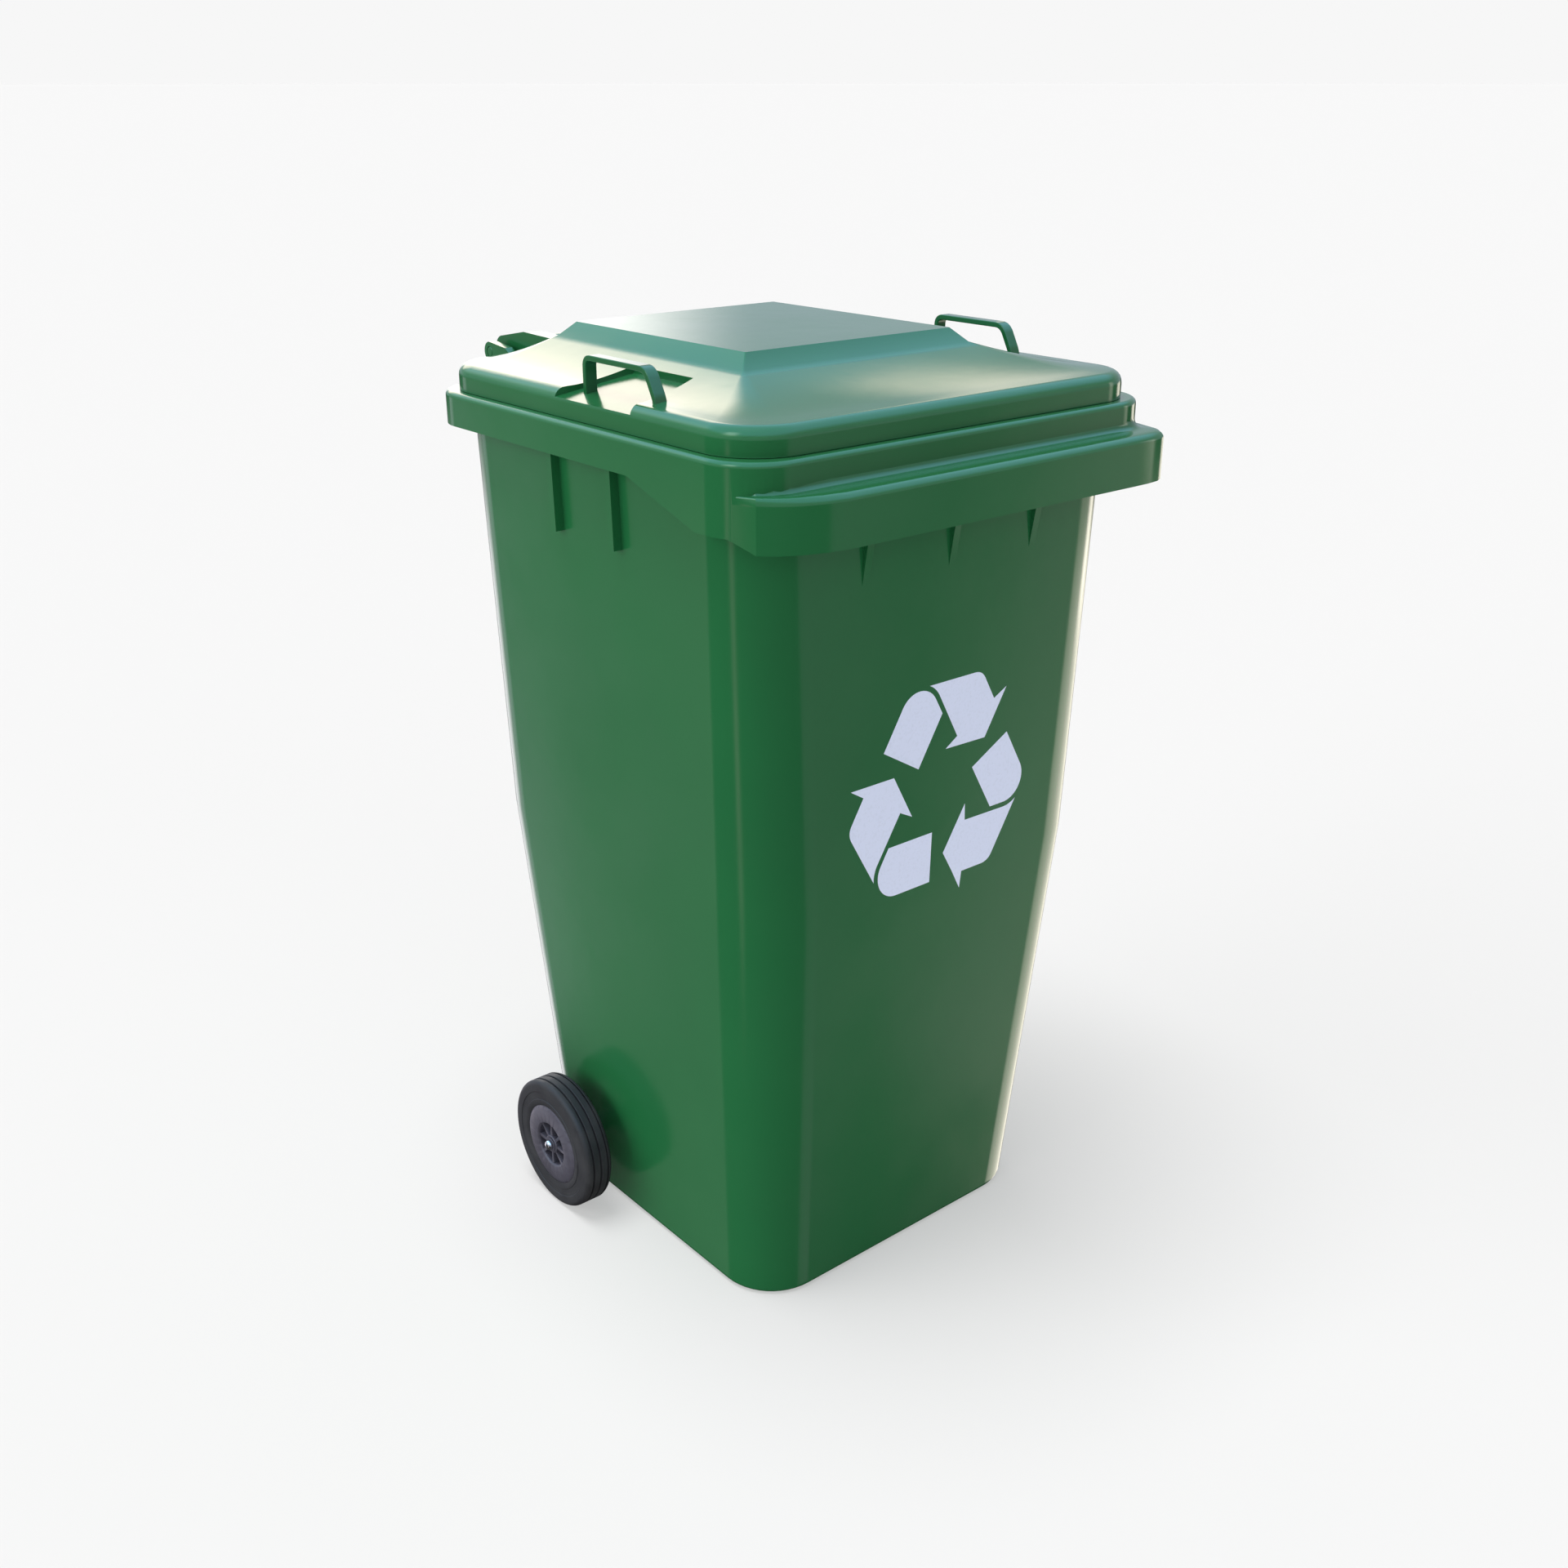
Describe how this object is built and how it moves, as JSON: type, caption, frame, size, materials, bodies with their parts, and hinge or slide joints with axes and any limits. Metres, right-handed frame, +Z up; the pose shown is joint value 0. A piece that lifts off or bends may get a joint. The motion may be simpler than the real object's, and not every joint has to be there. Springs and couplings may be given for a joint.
{
  "type": "wheelie bin",
  "caption": "Tall tapered plastic refuse bin with a hinged lid, a lifting lip across the front, strap handles on the lid and a wheel at each end of a rear axle.",
  "frame": {"origin": "middle of the flat base on the ground, below the mouth of the bin", "axes": "+Z up, +Y towards the hinge, the rear grip and the wheels, +X towards the right wheel seen from behind the lip; the lifting lip faces -Y"},
  "size_m": [0.5952, 0.666, 1.079],
  "materials": {
    "green_plastic": "injection moulded polyethylene, satin to gloss, fine mould texture",
    "lid_handle_plastic": "injection moulded polyethylene, glossy",
    "tyre_rubber": "solid rubber, matt, dusty",
    "hub_plastic": "grey polypropylene, satin",
    "black_plastic": "black nylon, satin",
    "axle_steel": "zinc plated cold drawn steel",
    "cap_steel": "pressed bright plated spring steel",
    "marking": "hot stamped foil, pale, flush with the wall"
  },
  "bodies": {
    "bin": {"bin_body": "green_plastic", "axle": "axle_steel", "hinge_pin_left": "green_plastic", "wheel_spacer_left": "black_plastic", "inner_washer_left": "axle_steel", "outer_washer_left": "hub_plastic", "axle_cap_left": "cap_steel", "hinge_pin_right": "green_plastic", "wheel_spacer_right": "black_plastic", "inner_washer_right": "axle_steel", "outer_washer_right": "hub_plastic", "axle_cap_right": "cap_steel"},
    "lid": {"lid": "green_plastic", "lid_handle_left": "lid_handle_plastic", "lid_handle_right": "lid_handle_plastic"},
    "wheel_left": {"wheel_centre_left": "hub_plastic", "wheel_bush_left": "black_plastic", "tyre_left": "tyre_rubber"},
    "wheel_right": {"wheel_centre_right": "hub_plastic", "wheel_bush_right": "black_plastic", "tyre_right": "tyre_rubber"}
  },
  "joints": [
    {"name": "lid_hinge", "type": "hinge", "parent": "bin", "child": "lid", "pos_m": [0, 0.322, 1.034], "axis": [-1, 0, 0], "range_deg": [0, 270]},
    {"name": "wheel_left_spin", "type": "hinge", "parent": "bin", "child": "wheel_left", "pos_m": [-0.2715, 0.109, 0.084], "axis": [1, 0, 0], "continuous": true},
    {"name": "wheel_right_spin", "type": "hinge", "parent": "bin", "child": "wheel_right", "pos_m": [0.2715, 0.109, 0.084], "axis": [1, 0, 0], "continuous": true}
  ]
}
